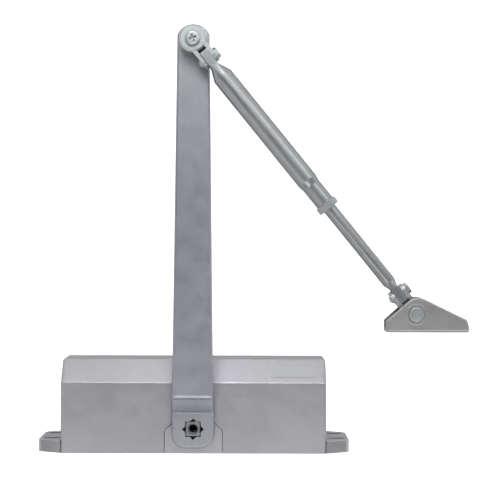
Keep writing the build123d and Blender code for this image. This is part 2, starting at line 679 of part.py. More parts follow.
def arm_outline():
    """Plan view of the arm, in (X, Y): broad at the spindle, tapering to a round tip at the elbow."""
    tail = SPINDLE_Y - ARM_FOOT_TAIL
    foot_end = ARM_STEP_Y + ARM_RISE - ARM_THICKNESS / 2
    root = ARM_STEP_Y + ARM_RISE + ARM_THICKNESS / 2
    shoulder = ELBOW_Y + sqrt(ARM_TIP_R**2 - ARM_TIP_HALF_WIDTH**2)
    right = [
        (ARM_FOOT_HALF_WIDTH, tail),
        (ARM_FOOT_HALF_WIDTH, foot_end),
        (ARM_ROOT_HALF_WIDTH, root),
        (ARM_TIP_HALF_WIDTH, shoulder),
    ]
    left = [(-x, y) for x, y in reversed(right)]
    sides = Polyline(*left, *right)
    nose = ThreePointArc(right[-1], (0, ELBOW_Y + ARM_TIP_R), left[0])
    face = make_face([sides, nose])
    corners = face.vertices().group_by(Axis.Y)[0]
    face = fillet(corners, ARM_FOOT_CORNER)
    waist = [v for v in face.vertices() if foot_end - NEAR < v.Y < root + NEAR]
    return fillet(waist, ARM_WAIST_R)


def star(width):
    """Eight-pointed hole: two squares at 45 degrees, so the arm fits the spindle in eight positions."""
    return Rectangle(width, width) + Rot(0, 0, 45) * Rectangle(width, width)


def main_arm():
    points, radii = arm_profile()
    reach = ARM_FOOT_HALF_WIDTH + 1
    bar = prism(points, Plane.YZ, -reach, reach, radii)
    bar &= extrude(arm_outline(), 2 * ARM_TOP_Z)
    bar = fillet_outline(bar)
    bar -= Pos(0, SPINDLE_Y, 0) * extrude(star(SQUARE_WIDTH + 2 * RUNNING), 2 * ARM_TOP_Z)
    bar -= rod_z(SCREW_SHANK_R + THREAD_FIT, 0, 2 * ARM_TOP_Z, 0, ELBOW_Y)
    return bar


def fillet_outline(bar):
    """Rounds the arm's upper and lower outline: the edges where one face is upright and one isn't."""
    outline = []
    for edge in bar.edges():
        slopes = [abs(f.normal_at(edge @ 0.5).Z) for f in faces_at(bar, edge)]
        if min(slopes) < NEAR < max(slopes):
            outline.append(edge)
    return fillet(outline, ARM_EDGE)


def faces_at(solid, edge):
    """The faces that meet at an edge."""
    return [f for f in solid.faces() if any(edge.is_same(e) for e in f.edges())]


# ================================================================ knuckles
def knuckle():
    """Eye and fork: the eye turns about Z and the fork's ears hold the tilt pin."""
    half = EYE_HEIGHT / 2
    eye = chamfer(rod_z(EYE_R, -half, half).edges(), EYE_EDGE)
    ears = []
    for side in (-1, 1):
        y = sorted((side * FORK_SLOT / 2, side * FORK_HALF_WIDTH))
        ear = block((0, TILT_PIN_X), y, (-EAR_R, EAR_R))
        ear += rod_y(EAR_R, *y, TILT_PIN_X)
        ears.append(ear)
    fork = eye + ears[0] + ears[1]
    fork -= rod_z(KNUCKLE_BORE_R, -half, half)
    return fork - rod_y(TILT_PIN_R, -FORK_HALF_WIDTH, FORK_HALF_WIDTH, TILT_PIN_X)


def tilt_pin():
    """Shouldered pin with a low hexagon head on one side and a domed rivet end on the other."""
    end = FORK_HALF_WIDTH
    pin = rod_y(TILT_PIN_R - RUNNING / 2, -end, end, TILT_PIN_X)
    head = extrude(hexagon(PIN_HEAD_AF), PIN_HEAD_THICKNESS)
    top_r = PIN_HEAD_AF / 2
    head &= Cone(top_r + PIN_HEAD_CROWN, top_r, PIN_HEAD_THICKNESS, align=UPRIGHT)
    pin += Pos(TILT_PIN_X, end, 0) * ALONG_Y * head
    dome_r = (PIN_DOME_R**2 + PIN_DOME_HEIGHT**2) / (2 * PIN_DOME_HEIGHT)
    dome = Pos(TILT_PIN_X, -end - PIN_DOME_HEIGHT + dome_r, 0) * Sphere(dome_r)
    pin += dome & rod_y(PIN_DOME_R, -end - PIN_DOME_HEIGHT, -end, TILT_PIN_X)
    return pin


def elbow_washer():
    ring = rod_z(WASHER_R, ARM_TOP_Z, ARM_TOP_Z + WASHER_THICKNESS)
    ring -= rod_z(KNUCKLE_BORE_R, ARM_TOP_Z, ARM_TOP_Z + WASHER_THICKNESS)
    return ELBOW * ring


def elbow_screw():
    """Pan-head screw with a cross recess: it holds the elbow knuckle down and is screwed into the arm."""
    under_head = EYE_TOP_Z + FACE_GAP
    arm_under = ARM_SEAT_Z + ARM_RISE
    screw = rod_z(SCREW_SHANK_R, arm_under - SCREW_TIP, under_head)
    screw = chamfer(screw.edges().sort_by(Axis.Z)[0], EDGE_BREAK)
    head = rod_z(SCREW_HEAD_R, under_head, under_head + SCREW_HEAD_HEIGHT)
    head = fillet(head.edges().sort_by(Axis.Z)[-1], SCREW_HEAD_EDGE)
    top = under_head + SCREW_HEAD_HEIGHT
    across = (-CROSS_WIDTH / 2, CROSS_WIDTH / 2)
    blade = block((-CROSS_REACH, CROSS_REACH), across, (-CROSS_DEPTH, 0))
    taper = Cone(CROSS_TIP_R, CROSS_REACH, CROSS_DEPTH, align=UPRIGHT)
    blade &= Pos(0, 0, -CROSS_DEPTH) * taper
    for turn in (CROSS_TURN, CROSS_TURN + 90):
        head -= Pos(0, 0, top) * Rotation(0, 0, turn) * blade
    return ELBOW * (screw + head)


# ================================================================ forearm, in its own frame
def flat(start, end, half_height, outer):
    """Flattened end of a tube or rod, from start to end, with round corners at the outer of the two."""
    half = FLAT_THICKNESS / 2
    bar = block((start, end), (-half, half), (-half_height, half_height))
    corners = bar.edges().filter_by(Axis.Y).filter_by_position(Axis.X, outer - NEAR, outer + NEAR)
    return fillet(corners, FLAT_CORNER)


def forearm_tube():
    """Steel tube, pinched flat at the elbow and drawn down to a neck at the other end."""
    thick = FLAT_THICKNESS
    tall = TUBE_PINCH_HALF_HEIGHT
    tongue_end = TILT_PIN_X - FLAT_REACH
    tongue = flat(tongue_end, PINCH_END, tall, tongue_end)
    pinch = RectangleRounded(thick, 2 * tall, FLAT_EDGE)
    start = Plane.YZ.offset(PINCH_END)
    shoulder = loft([start * pinch, Plane.YZ.offset(TUBE_ROUND) * Circle(TUBE_R)])
    tube = tongue + shoulder
    tube += rod_x(TUBE_R, TUBE_ROUND, TUBE_NECK_START)
    neck = Cone(TUBE_R, TUBE_NECK_R, TUBE_NECK_FULL - TUBE_NECK_START, align=UPRIGHT)
    tube += Pos(TUBE_NECK_START, 0, 0) * ALONG_X * neck
    tube += rod_x(TUBE_NECK_R, TUBE_NECK_FULL, TUBE_END)
    nose_end = TUBE_END + TUBE_NOSE_LENGTH
    tube += rod_x(TUBE_NOSE_R, TUBE_END, nose_end)
    tube -= rod_x(TUBE_BORE_R, TUBE_BORE_START, TUBE_NECK_START)
    tube -= rod_x(ROD_R + RUNNING, TUBE_NECK_START, nose_end)
    return tube - rod_y(TILT_PIN_R + RUNNING, -thick, thick, TILT_PIN_X)


def lock_nut():
    """Clamping nut on the tube's nose; it grips the rod where it comes out."""
    end = NUT_START + NUT_LENGTH
    nut = Plane.YZ * extrude(hexagon(NUT_AF), NUT_LENGTH)
    nut = Pos(NUT_START, 0, 0) * nut
    corner_r = NUT_AF / sqrt(3)
    ball_r = hypot(corner_r - NUT_CORNER_TRIM, NUT_LENGTH / 2)
    nut &= Pos(NUT_START + NUT_LENGTH / 2, 0, 0) * Sphere(ball_r)
    nut -= rod_x(TUBE_NOSE_R + RUNNING, NUT_START, TUBE_END + TUBE_NOSE_LENGTH + FACE_GAP)
    return nut - rod_x(ROD_R + FACE_GAP, NUT_START, end)


def forearm_rod():
    """Adjusting rod: it slides in the tube and ends in a flat for the shoe knuckle."""
    thick = FLAT_THICKNESS
    pin_x = FOREARM_LENGTH - TILT_PIN_X
    flat_start = pin_x - (PINCH_END - TILT_PIN_X)
    rod = rod_x(ROD_R, ROD_INNER_END, ROD_ROUND_END)
    rod = chamfer(rod.edges().sort_by(Axis.X)[0], EDGE_BREAK)
    flat_face = RectangleRounded(thick, 2 * ROD_FLAT_HALF_HEIGHT, FLAT_EDGE)
    rod += loft(
        [
            Plane.YZ.offset(ROD_ROUND_END) * Circle(ROD_R),
            Plane.YZ.offset(flat_start) * flat_face,
        ]
    )
    tongue_end = pin_x + FLAT_REACH
    rod += flat(flat_start, tongue_end, ROD_FLAT_HALF_HEIGHT, tongue_end)
    return rod - rod_y(TILT_PIN_R + RUNNING, -thick, thick, pin_x)


# ================================================================ shoe, in its own frame from its pivot
def shoe_outline():
    points = [
        (SHOE_LEFT, SHOE_BASE_Y),
        (SHOE_LEFT, SHOE_LEFT_SHOULDER),
        (SHOE_APEX_X, SHOE_APEX_Y),
        (SHOE_RIGHT_SHOULDER_X, SHOE_RIGHT_SHOULDER_Y),
        (SHOE_RIGHT, SHOE_RIGHT_CORNER_Y),
        (SHOE_RIGHT, SHOE_BASE_Y),
    ]
    radii = (0, SHOE_CORNER_R, SHOE_APEX_R, SHOE_CORNER_R, SHOE_CORNER_R, 0)
    return points, radii


def shoe_bracket():
    """Pressed bracket: a web that is screwed to the frame, and two plates with the knuckle between."""
    points, radii = shoe_outline()
    bracket = prism(points, Plane.XY, -SHOE_HALF_HEIGHT, SHOE_HALF_HEIGHT, radii)
    bends = bracket.faces().sort_by(Axis.Y)[0].edges().filter_by(Axis.X)
    bracket = fillet(bends, SHOE_BEND_R)
    faces = bracket.edges().group_by(Axis.Z)
    rims = [e for e in faces[0] + faces[-1] if e.center().Y > SHOE_BASE_Y + SHOE_BEND_R + NEAR]
    bracket = fillet(rims, SHOE_EDGE)
    inside = ((SHOE_LEFT - 1, SHOE_RIGHT + 1), (SHOE_BASE_Y + SHOE_SHEET, SHOE_APEX_Y + 1))
    bracket -= block(*inside, (-SHOE_GAP_HALF, SHOE_GAP_HALF))
    ring = rod_z(SHOE_RING_R, SHOE_HALF_HEIGHT, SHOE_HALF_HEIGHT + SHOE_RING_HEIGHT)
    ring = fillet(ring.edges().sort_by(Axis.Z)[-1], SHOE_RING_HEIGHT / 2)
    ring -= rod_z(RIVET_HEAD_R + SHOE_GROOVE, SHOE_HALF_HEIGHT, 2 * SHOE_HALF_HEIGHT)
    bracket += ring
    bracket -= rod_z(KNUCKLE_BORE_R, -2 * SHOE_HALF_HEIGHT, 2 * SHOE_HALF_HEIGHT)
    for x in SHOE_HOLES_X:
        bracket -= rod_y(SHOE_HOLE_R, SHOE_BASE_Y, SHOE_BASE_Y + SHOE_SHEET, x)
    return bracket


def shoe_rivet():
    """Rivet through both plates and the knuckle, its heads dished by the tool that closed it."""
    top = SHOE_HALF_HEIGHT + RIVET_HEAD_HEIGHT
    head = rod_z(RIVET_HEAD_R, SHOE_HALF_HEIGHT, top)
    head = fillet(head.edges().sort_by(Axis.Z)[-1], RIVET_HEAD_HEIGHT / 2)
    dish = Cone(RIVET_DISH_R - RIVET_DISH_DEPTH, RIVET_DISH_R, RIVET_DISH_DEPTH)
    head -= Pos(0, 0, top - RIVET_DISH_DEPTH / 2) * dish
    shank = rod_z(KNUCKLE_BORE_R - RUNNING, -SHOE_HALF_HEIGHT, SHOE_HALF_HEIGHT)
    return shank + head + mirrored(head)


# ================================================================ the assembly
def assembly():
    """Every piece by name, in its place at rest."""
    shoe_knuckle = FOREARM * Pos(FOREARM_LENGTH, 0, 0) * Rotation(0, 0, 180)
    return {
        "front_cover": front_cover(),
        "housing": housing(),
        "spindle": spindle(),
        "spindle_bush_upper": spindle_bush(),
        "spindle_bush_lower": mirrored(spindle_bush()),
        "spindle_seal_upper": spindle_seal(),
        "spindle_seal_lower": mirrored(spindle_seal()),
        "gland_nut_upper": gland_nut(),
        "gland_nut_lower": mirrored(gland_nut()),
        "spindle_cap": spindle_cap(),
        "piston": piston(),
        "check_ball": check_ball(),
        "check_retainer": check_retainer(),
        "closing_spring": spring(),
        "spring_seat": spring_seat(),
        "end_plug_right": end_plug(),
        "end_plug_left": mirror(end_plug(), about=Plane.YZ),
        "plug_ring_right": plug_ring(),
        "plug_ring_left": mirror(plug_ring(), about=Plane.YZ),
        "closing_valve": valve_screw(1),
        "latching_valve": valve_screw(-1),
        "closing_valve_ring": valve_ring(1),
        "latching_valve_ring": valve_ring(-1),
        "main_arm": main_arm(),
        "elbow_washer": elbow_washer(),
        "elbow_screw": elbow_screw(),
        "elbow_knuckle": FOREARM * knuckle(),
        "elbow_tilt_pin": FOREARM * tilt_pin(),
        "forearm_tube": FOREARM * forearm_tube(),
        "forearm_lock_nut": FOREARM * lock_nut(),
        "forearm_rod": FOREARM * forearm_rod(),
        "shoe_knuckle": shoe_knuckle * knuckle(),
        "shoe_tilt_pin": shoe_knuckle * mirror(tilt_pin(), about=Plane.XZ),
        "shoe_bracket": SHOE * shoe_bracket(),
        "shoe_rivet": SHOE * shoe_rivet(),
    }


os.makedirs("parts", exist_ok=True)
for name, shape in assembly().items():
    export_step(shape, f"parts/{name}.step")
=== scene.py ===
"""Looks for the door closer: materials, a plain label, thread and casting detail, studio, camera."""

import json
import math

import bmesh
import bpy
from mathutils import Matrix, Vector


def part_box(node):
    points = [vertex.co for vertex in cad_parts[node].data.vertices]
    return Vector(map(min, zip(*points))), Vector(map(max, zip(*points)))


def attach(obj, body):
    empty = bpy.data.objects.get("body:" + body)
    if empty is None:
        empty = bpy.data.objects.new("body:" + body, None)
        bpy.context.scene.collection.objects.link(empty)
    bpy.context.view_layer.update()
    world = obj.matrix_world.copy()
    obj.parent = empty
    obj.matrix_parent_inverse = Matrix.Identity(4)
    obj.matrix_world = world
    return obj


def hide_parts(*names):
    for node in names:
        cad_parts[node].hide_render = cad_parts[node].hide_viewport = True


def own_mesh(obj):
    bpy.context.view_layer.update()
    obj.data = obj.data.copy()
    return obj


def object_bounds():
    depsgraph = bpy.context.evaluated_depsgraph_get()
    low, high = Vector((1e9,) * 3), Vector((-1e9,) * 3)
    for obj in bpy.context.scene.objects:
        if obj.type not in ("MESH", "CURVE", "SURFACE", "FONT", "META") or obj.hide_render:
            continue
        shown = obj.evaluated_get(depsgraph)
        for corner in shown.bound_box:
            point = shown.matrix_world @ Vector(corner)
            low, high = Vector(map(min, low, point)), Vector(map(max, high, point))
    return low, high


MM = 0.001

BEVEL_DEPTH = 13.2 * MM  # the cover's sloping flank, along Y
BEVEL_HEIGHT = 10.0 * MM  # and along Z
LABEL_WIDTH = 25.0 * MM
LABEL_HEIGHT = 8.6 * MM
LABEL_CORNER = 1.0 * MM
LABEL_THICKNESS = 0.25 * MM
LABEL_RIM = 0.7 * MM
LABEL_FROM_END = 19.5 * MM  # label's middle, from the cover's right end

THREAD_R = 2.6 * MM  # the screw hole in the spindle
THREAD_PITCH = 0.8 * MM
THREAD_HEIGHT = 0.38 * MM
THREAD_START = 0.9 * MM  # below the spindle's end
THREAD_TURNS = 12

WHITE = (1.0, 1.0, 1.0, 1.0)
RUBBED_EDGE = 0.5 * MM  # width of the worn band along painted edges
PAINT_METALLIC = 0.72
ZINC_METALLIC = 0.85
RING_SCALE = 900.0  # turning marks, per metre

LIGHT_DISTANCE = 1.3  # of the far lights, from the middle of the closer
FAR_LIGHTS = {  # azimuth from +X and elevation in degrees, size, watts
    "beyond_high": (90, 70, (0.8, 0.3), 1.7),
    "beyond_low": (90, 21, (1.6, 0.25), 0.5),
    "near": (-90, 60, (0.9, 0.3), 5.4),
    "right_far": (45, 35, (0.5, 0.4), 0.4),
    "right_high": (0, 50, (0.3, 0.8), 0.35),
    "right_low": (0, 15, (0.3, 0.8), 1.25),
}
ELBOW_TARGET = (0.0, 0.2, 0.04)
CLOSE_LIGHTS = {  # place, target, size, watts
    "elbow_beyond": ((0.0, 0.50, 0.40), ELBOW_TARGET, (0.25, 0.15), 1.45),
    "elbow_left": ((-0.25, 0.40, 0.35), ELBOW_TARGET, (0.15, 0.25), 0.1),
    "elbow_right": ((0.30, 0.40, 0.35), ELBOW_TARGET, (0.15, 0.25), 0.42),
    "body_right": ((0.30, -0.15, 0.45), (0.05, 0.03, 0.02), (0.25, 0.15), 0.26),
    "body_left": ((-0.35, -0.10, 0.40), (-0.03, 0.03, 0.02), (0.25, 0.15), 0.41),
}
FLOOR_DROP = 0.32  # below the lowest point of the closer
FLOOR_HALF_WIDTH = 3.0
FLOOR_GLOW = 0.8  # emission strength
SKY_BELOW = 0.96  # world strength well below the horizon
SKY_HORIZON = 1.62
SKY_BAND = 0.4  # height, of 1, where the horizon's brightness has faded out

CAMERA_PLACE = (0.0266, 0.1232, 0.746)
CAMERA_ROLL = math.radians(0.15)
CAMERA_SENSOR = 36.0
CAMERA_LENS = 94.3

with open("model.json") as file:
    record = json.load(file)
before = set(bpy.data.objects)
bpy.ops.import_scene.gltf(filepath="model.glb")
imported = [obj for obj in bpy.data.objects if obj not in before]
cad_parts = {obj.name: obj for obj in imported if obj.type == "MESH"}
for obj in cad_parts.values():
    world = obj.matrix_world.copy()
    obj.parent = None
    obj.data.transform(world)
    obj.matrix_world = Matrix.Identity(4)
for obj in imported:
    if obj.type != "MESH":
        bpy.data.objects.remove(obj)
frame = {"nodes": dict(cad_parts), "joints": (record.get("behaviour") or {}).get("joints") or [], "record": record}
cad_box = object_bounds()
nodes = frame["nodes"]
joints = {j["name"]: j for j in frame["joints"]}


# ---------------------------------------------------------------- small helpers
def linear(hex_colour):
    """An sRGB hex colour as linear RGBA."""
    parts = [int(hex_colour[i : i + 2], 16) / 255 for i in (0, 2, 4)]
    rgb = [c / 12.92 if c <= 0.04045 else ((c + 0.055) / 1.055) ** 2.4 for c in parts]
    return (*rgb, 1.0)


class Surface:
    """A node-based material: each method adds one node and returns the output that matters."""

    def __init__(self, name):
        self.material = bpy.data.materials.new(name)
        self.material.use_nodes = True
        self.tree = self.material.node_tree
        self.shader = self.tree.nodes["Principled BSDF"]
        self.place = self.tree.nodes.new("ShaderNodeTexCoord").outputs["Object"]

    def node(self, kind, **settings):
        made = self.tree.nodes.new(kind)
        for key, value in settings.items():
            setattr(made, key, value)
        return made

    def link(self, source, target):
        if isinstance(source, bpy.types.NodeSocket):
            self.tree.links.new(source, target)
        else:
            target.default_value = source

    def turned(self, angle, stretch):
        """Object coordinates turned about Z and stretched, for grain that runs one way."""
        turn = self.node("ShaderNodeMapping", vector_type="TEXTURE")
        turn.inputs["Rotation"].default_value = (0.0, 0.0, angle)
        self.link(self.place, turn.inputs["Vector"])
        scale = self.node("ShaderNodeMapping")
        scale.inputs["Scale"].default_value = stretch
        self.link(turn.outputs["Vector"], scale.inputs["Vector"])
        return scale.outputs["Vector"]

    def noise(self, size, detail=3.0, roughness=0.55, place=None):
        """Noise whose features are about size metres across."""
        made = self.node("ShaderNodeTexNoise")
        made.inputs["Scale"].default_value = 1.0 / size
        made.inputs["Detail"].default_value = detail
        made.inputs["Roughness"].default_value = roughness
        self.link(place or self.place, made.inputs["Vector"])
        return made.outputs["Fac"]

    def cell_distance(self, size):
        """Distance to the middle of the nearest of many small cells."""
        made = self.node("ShaderNodeTexVoronoi")
        made.inputs["Scale"].default_value = 1.0 / size
        self.link(self.place, made.inputs["Vector"])
        return made.outputs["Distance"]

    def span(self, value, low, high, start=0.0, end=1.0):
        """value, from low..high to start..end, held at the ends."""
        made = self.node("ShaderNodeMapRange")
        made.inputs["From Min"].default_value = low
        made.inputs["From Max"].default_value = high
        made.inputs["To Min"].default_value = start
        made.inputs["To Max"].default_value = end
        self.link(value, made.inputs["Value"])
        return made.outputs["Result"]

    def maths(self, operation, a, b):
        made = self.node("ShaderNodeMath", operation=operation)
        self.link(a, made.inputs[0])
        self.link(b, made.inputs[1])
        return made.outputs["Value"]

    def blend(self, factor, a, b, kind="MIX"):
        made = self.node("ShaderNodeMix", data_type="RGBA", blend_type=kind)
        self.link(factor, made.inputs["Factor"])
        self.link(a, made.inputs[6])
        self.link(b, made.inputs[7])
        return made.outputs[2]

    def edge_mask(self, radius):
        """1 on sharp edges, 0 on flats: where a rounded normal and the true one differ."""
        soft = self.node("ShaderNodeBevel", samples=4)
        soft.inputs["Radius"].default_value = radius
        true = self.node("ShaderNodeNewGeometry")
        dot = self.node("ShaderNodeVectorMath", operation="DOT_PRODUCT")
        self.link(soft.outputs["Normal"], dot.inputs[0])
        self.link(true.outputs["Normal"], dot.inputs[1])
        return self.span(dot.outputs["Value"], 0.995, 0.86)

    def bump(self, layers, soft_edge=0.0):
        """Stacks bump layers of (height, depth in metres) on edges rounded by soft_edge."""
        normal = None
        if soft_edge:
            rounded = self.node("ShaderNodeBevel", samples=6)
            rounded.inputs["Radius"].default_value = soft_edge
            normal = rounded.outputs["Normal"]
        for height, depth in layers:
            made = self.node("ShaderNodeBump")
            made.inputs["Strength"].default_value = 1.0
            made.inputs["Distance"].default_value = depth
            self.link(height, made.inputs["Height"])
            if normal:
                self.link(normal, made.inputs["Normal"])
            normal = made.outputs["Normal"]
        self.link(normal, self.shader.inputs["Normal"])

    def finish(self, colour, roughness, metallic, **plain):
        self.link(colour, self.shader.inputs["Base Color"])
        self.link(roughness, self.shader.inputs["Roughness"])
        self.shader.inputs["Metallic"].default_value = metallic
        for key, value in plain.items():
            self.shader.inputs[key.replace("_", " ").title()].default_value = value
        return self.material


# ---------------------------------------------------------------- materials
def silver_paint(name, colour, grain, soft_edge=0.35 * MM):
    """Sprayed silver paint: fine bright flake, faint orange peel, slow mottling, edges rubbed lighter."""
    s = Surface(name)
    sparkle = s.span(s.cell_distance(0.16 * MM), 0.0, 0.55, 1.10, 0.93)
    mottle = s.span(s.noise(26 * MM, 4.0), 0.35, 0.65, 0.965, 1.035)
    dust = s.span(s.noise(3.2 * MM, 5.0, 0.7), 0.56, 0.74)
    tone = s.blend(1.0, colour, s.maths("MULTIPLY", sparkle, mottle), "MULTIPLY")
    tone = s.blend(s.maths("MULTIPLY", dust, 0.10), tone, linear("C9C9C6"))
    wear = s.span(s.noise(5 * MM), 0.42, 0.62, 0.1, 0.55)
    rubbed = s.maths("MULTIPLY", s.edge_mask(RUBBED_EDGE), wear)
    tone = s.blend(rubbed, tone, linear("C4C5C6"))
    rough = s.span(s.noise(9 * MM, 3.0), 0.3, 0.7, 0.36, 0.46)
    peel = s.noise(0.9 * MM, 2.0)
    s.bump([(peel, grain * MM), (s.noise(0.25 * MM, 2.0), 0.25 * grain * MM)], soft_edge)
    return s.finish(tone, rough, PAINT_METALLIC, specular_tint=(0.35, 0.35, 0.35, 1.0))


def zinc_plate(name, colour, angle=None, polish=0.34):
    """Zinc plate: clouded blue-white tint and either drawn streaks along angle or a tumbled grain."""
    s = Surface(name)
    if angle is None:
        grain = s.noise(0.35 * MM, 4.0)
    else:
        grain = s.noise(0.5 * MM, 4.0, 0.6, s.turned(angle, (0.03, 1.0, 1.0)))
    cloud = s.noise(7 * MM, 4.0, 0.6)
    tone = s.blend(s.span(cloud, 0.35, 0.65, 0.0, 0.16), colour, linear("AEB4B4"))
    tone = s.blend(s.span(cloud, 0.58, 0.74, 0.0, 0.07), tone, linear("B9B49E"))
    tone = s.blend(1.0, tone, s.span(grain, 0.3, 0.7, 0.90, 1.06), "MULTIPLY")
    marks = s.span(s.noise(1.6 * MM, 6.0, 0.75), 0.60, 0.72)
    tone = s.blend(s.maths("MULTIPLY", marks, 0.12), tone, linear("6E7172"))
    worn = s.maths("MULTIPLY", marks, 0.12)
    rough = s.maths("ADD", s.span(grain, 0.3, 0.7, polish, polish + 0.12), worn)
    s.bump([(grain, 0.012 * MM), (marks, 0.015 * MM)], 0.2 * MM)
    return s.finish(tone, rough, ZINC_METALLIC, specular_tint=(0.2, 0.2, 0.2, 1.0))


def turned_metal(name, colour, axis, centre, polish=0.28):
    """Machined metal with fine rings round axis ("X" or "Z") through centre."""
    s = Surface(name)
    shift = s.node("ShaderNodeMapping")
    shift.inputs["Location"].default_value = [-c for c in centre]
    s.link(s.place, shift.inputs["Vector"])
    rings = s.node("ShaderNodeTexWave", wave_type="RINGS", rings_direction=axis)
    rings.inputs["Scale"].default_value = RING_SCALE
    rings.inputs["Distortion"].default_value = 1.2
    rings.inputs["Detail"].default_value = 2.0
    s.link(shift.outputs["Vector"], rings.inputs["Vector"])
    stain = s.noise(4 * MM, 5.0, 0.65)
    tone = s.blend(1.0, colour, s.span(stain, 0.3, 0.7, 0.82, 1.08), "MULTIPLY")
    tone = s.blend(1.0, tone, s.span(rings.outputs["Fac"], 0.0, 1.0, 0.93, 1.04), "MULTIPLY")
    rough = s.span(stain, 0.3, 0.7, polish, polish + 0.14)
    s.bump([(rings.outputs["Fac"], 0.008 * MM)], 0.15 * MM)
    return s.finish(tone, rough, 1.0)


def cast_iron(name, colour):
    """Rough machined iron, unevenly stained."""
    s = Surface(name)
    skin = s.noise(0.8 * MM, 5.0, 0.7)
    stain = s.noise(9 * MM, 4.0)
    tone = s.blend(1.0, colour, s.span(stain, 0.3, 0.7, 0.8, 1.15), "MULTIPLY")
    s.bump([(skin, 0.05 * MM)], 0.2 * MM)
    return s.finish(tone, s.span(skin, 0.3, 0.7, 0.42, 0.6), 0.85)


def rubber(name, colour):
    """Black rubber with a slight pale bloom."""
    s = Surface(name)
    skin = s.noise(0.5 * MM, 4.0)
    bloom = s.span(s.noise(5 * MM, 4.0), 0.5, 0.7)
    tone = s.blend(s.maths("MULTIPLY", bloom, 0.25), colour, linear("3A3A3B"))
    s.bump([(skin, 0.02 * MM)])
    return s.finish(tone, s.span(skin, 0.3, 0.7, 0.5, 0.68), 0.0)


def moulded_plastic(name, colour):
    """Spark-eroded moulding texture with faint flow marks."""
    s = Surface(name)
    pores = s.noise(0.35 * MM, 3.0, 0.6)
    flow = s.noise(12 * MM, 3.0)
    tone = s.blend(1.0, colour, s.span(flow, 0.3, 0.7, 0.94, 1.05), "MULTIPLY")
    s.bump([(pores, 0.03 * MM)], 0.3 * MM)
    return s.finish(tone, s.span(pores, 0.3, 0.7, 0.4, 0.56), 0.0)


def foil(name, colour):
    """Brushed aluminium foil for the plain label, with the brushing along X."""
    s = Surface(name)
    brush = s.noise(0.3 * MM, 4.0, 0.6, s.turned(0.0, (0.02, 1.0, 1.0)))
    tone = s.blend(1.0, colour, s.span(brush, 0.3, 0.7, 0.88, 1.06), "MULTIPLY")
    s.bump([(brush, 0.01 * MM)])
    return s.finish(tone, s.span(brush, 0.3, 0.7, 0.55, 0.65), 0.35)


def along(joint):
    """Direction of a joint's axis in the X-Y plane, as an angle about Z."""
    x, y, _ = joints[joint]["axis"]
    return math.atan2(y, x)


forearm_angle = along("rod_slide")
cylinder = (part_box("piston")[0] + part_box("piston")[1]) / 2
spindle_axis = Vector(joints["arm_swing"]["pos_m"])

paint_cover = silver_paint("cover_paint", linear("A5A4A9"), 0.035)
# Same silver paint as the cover, but its colour is lifted above the cover's: painted light, making up for the
# shade the casting's faces get near the body.
paint_casting = silver_paint("casting_paint", linear("ACACB0"), 0.07, soft_edge=0.5 * MM)
paint_arm = silver_paint("arm_paint", linear("9D9FA6"), 0.045)
paint_shoe = silver_paint("shoe_paint", linear("A3A3A3"), 0.055)
zinc_forearm = zinc_plate("forearm_zinc", linear("919597"), forearm_angle, 0.32)
zinc_fastener = zinc_plate("fastener_zinc", linear("ABB1B3"))
steel_spindle = turned_metal("spindle_steel", linear("8C8E90"), "Z", spindle_axis)
steel_plug = turned_metal("plug_steel", linear("9A9B9C"), "X", (0.0, cylinder.y, 0.0))
bronze = turned_metal("bush_bronze", linear("B08A52"), "Z", spindle_axis, 0.34)
brass = turned_metal("valve_brass", linear("C6A661"), "X", joints["closing_valve_turn"]["pos_m"], 0.26)
spring_wire = zinc_plate("spring_steel", linear("4A4C50"), None, 0.3)
iron = cast_iron("piston_iron", linear("5C5C5D"))
black_rubber = rubber("seal_rubber", linear("1B1B1C"))
cap_plastic = moulded_plastic("cap_plastic", linear("8E8F92"))
label_foil = foil("label_foil", linear("ABACAE"))

FINISHES = {
    "cover_paint": paint_cover,
    "casting_paint": paint_casting,
    "arm_paint": paint_arm,
    "shoe_paint": paint_shoe,
    "forearm_zinc": zinc_forearm,
    "fastener_zinc": zinc_fastener,
    "spindle_steel": steel_spindle,
    "plug_steel": steel_plug,
    "bush_bronze": bronze,
    "valve_brass": brass,
    "spring_steel": spring_wire,
    "piston_iron": iron,
    "seal_rubber": black_rubber,
    "cap_plastic": cap_plastic,
}
for part in frame["record"]["subparts"]:
    for slot in nodes[part["node"]].material_slots:
        slot.material = FINISHES[part["material_slot"]]


# ---------------------------------------------------------------- added pieces
def piece(name, shape, material, body):
    """Turns a bmesh into an object that rides on body and has material as its finish."""
    bmesh.ops.recalc_face_normals(shape, faces=shape.faces)
    mesh = bpy.data.meshes.new(name)
    shape.to_mesh(mesh)
    shape.free()
    mesh.materials.append(material)
    made = bpy.data.objects.new(name, mesh)
    bpy.context.scene.collection.objects.link(made)
    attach(made, body)
    return made


def rounded_rectangle(width, height, radius, steps=6):
    """Outline points of a rectangle with round corners, centred on the origin."""
    points = []
    for quarter, (sx, sy) in enumerate(((1, 1), (-1, 1), (-1, -1), (1, -1))):
        centre_x = sx * (width / 2 - radius)
        centre_y = sy * (height / 2 - radius)
        for step in range(steps + 1):
            angle = math.pi / 2 * (quarter + step / steps)
            points.append((centre_x + radius * math.cos(angle), centre_y + radius * math.sin(angle)))
    return points


